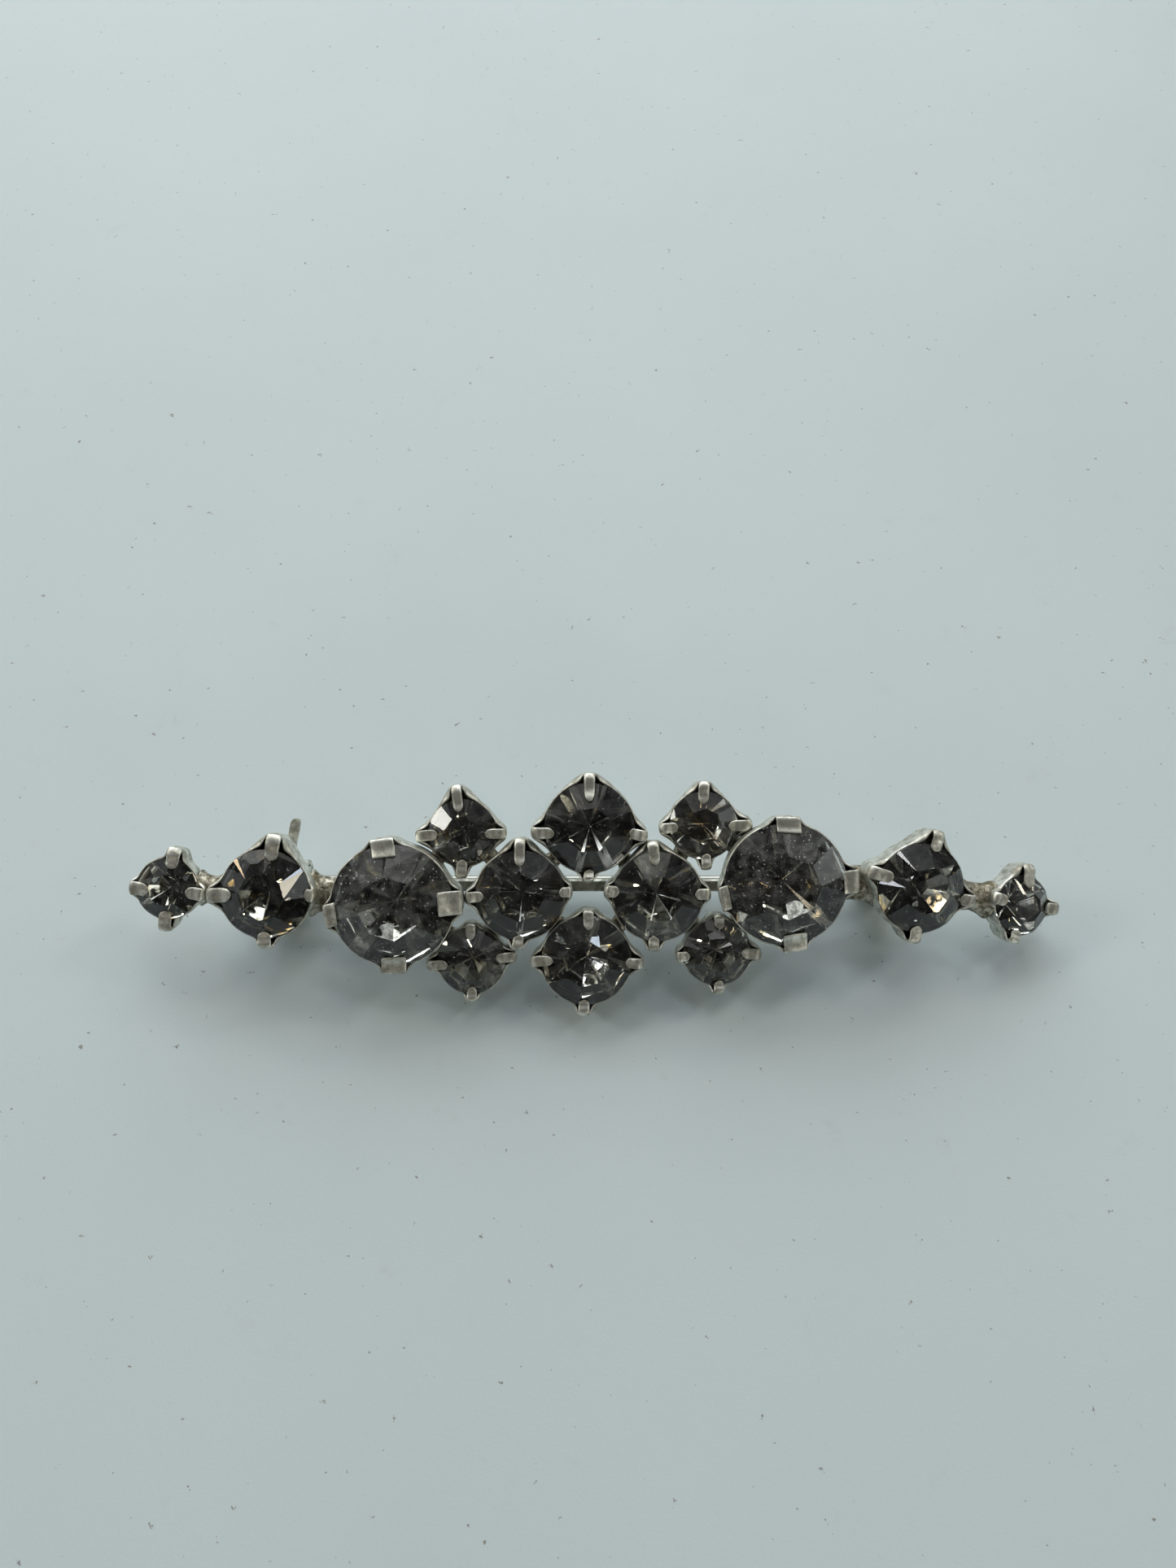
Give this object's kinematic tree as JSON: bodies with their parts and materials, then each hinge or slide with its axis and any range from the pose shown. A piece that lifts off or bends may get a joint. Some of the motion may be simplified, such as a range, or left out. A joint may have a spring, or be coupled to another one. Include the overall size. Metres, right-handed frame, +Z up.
{
  "type": "rhinestone bar brooch",
  "caption": "Bar brooch of round foiled stones in clawed cups, with a hinged pin and a roll-over safety catch on its back.",
  "frame": {"origin": "middle of the underside of the brooch's box as it leans on a table", "axes": "+X along the row of stones to the wearer's-view right end, +Z up from the table; the face leans towards -Y, 35 degrees from lying flat"},
  "size_m": [0.079, 0.0176, 0.014],
  "materials": {
    "plated_metal": "tarnished satin plating on pressed brass",
    "foiled_glass": "polished facets over an aged dark foil",
    "solder": "dull tin-lead solder",
    "pin_steel": "drawn nickel-plated wire"
  },
  "bodies": {
    "brooch": {"back_bar": "plated_metal", "catch_housing": "plated_metal", "hinge_bracket": "plated_metal", "hinge_rivet": "plated_metal", "setting_bottom": "plated_metal", "setting_left_bottom": "plated_metal", "setting_left_centre": "plated_metal", "setting_left_end": "plated_metal", "setting_left_large": "plated_metal", "setting_left_shoulder": "plated_metal", "setting_left_top": "plated_metal", "setting_right_bottom": "plated_metal", "setting_right_centre": "plated_metal", "setting_right_end": "plated_metal", "setting_right_large": "plated_metal", "setting_right_shoulder": "plated_metal", "setting_right_top": "plated_metal", "setting_top": "plated_metal", "solder_bottom_right_centre": "solder", "solder_left_bottom_left_centre": "solder", "solder_left_centre_bottom": "solder", "solder_left_centre_top": "solder", "solder_left_end_left_shoulder": "solder", "solder_left_large_left_bottom": "solder", "solder_left_large_left_top": "solder", "solder_left_shoulder_left_large": "solder", "solder_left_top_left_centre": "solder", "solder_right_bottom_right_large": "solder", "solder_right_centre_right_bottom": "solder", "solder_right_centre_right_top": "solder", "solder_right_large_right_shoulder": "solder", "solder_right_shoulder_right_end": "solder", "solder_right_top_right_large": "solder", "solder_top_right_centre": "solder", "stone_bottom": "foiled_glass", "stone_left_bottom": "foiled_glass", "stone_left_centre": "foiled_glass", "stone_left_end": "foiled_glass", "stone_left_large": "foiled_glass", "stone_left_shoulder": "foiled_glass", "stone_left_top": "foiled_glass", "stone_right_bottom": "foiled_glass", "stone_right_centre": "foiled_glass", "stone_right_end": "foiled_glass", "stone_right_large": "foiled_glass", "stone_right_shoulder": "foiled_glass", "stone_right_top": "foiled_glass", "stone_top": "foiled_glass"},
    "pin": {"pin_stem": "pin_steel"},
    "rotor": {"catch_rotor": "plated_metal"}
  },
  "joints": [
    {"name": "pin_hinge", "type": "hinge", "parent": "brooch", "child": "pin", "pos_m": [0.02447, 0.00386, 0.00213], "axis": [0, -0.8198, -0.5727], "range_deg": [0, 100]},
    {"name": "catch_turn", "type": "hinge", "parent": "brooch", "child": "rotor", "pos_m": [-0.0274, 0.00386, 0.00213], "axis": [-1, 0, 0], "range_deg": [0, 110]}
  ]
}
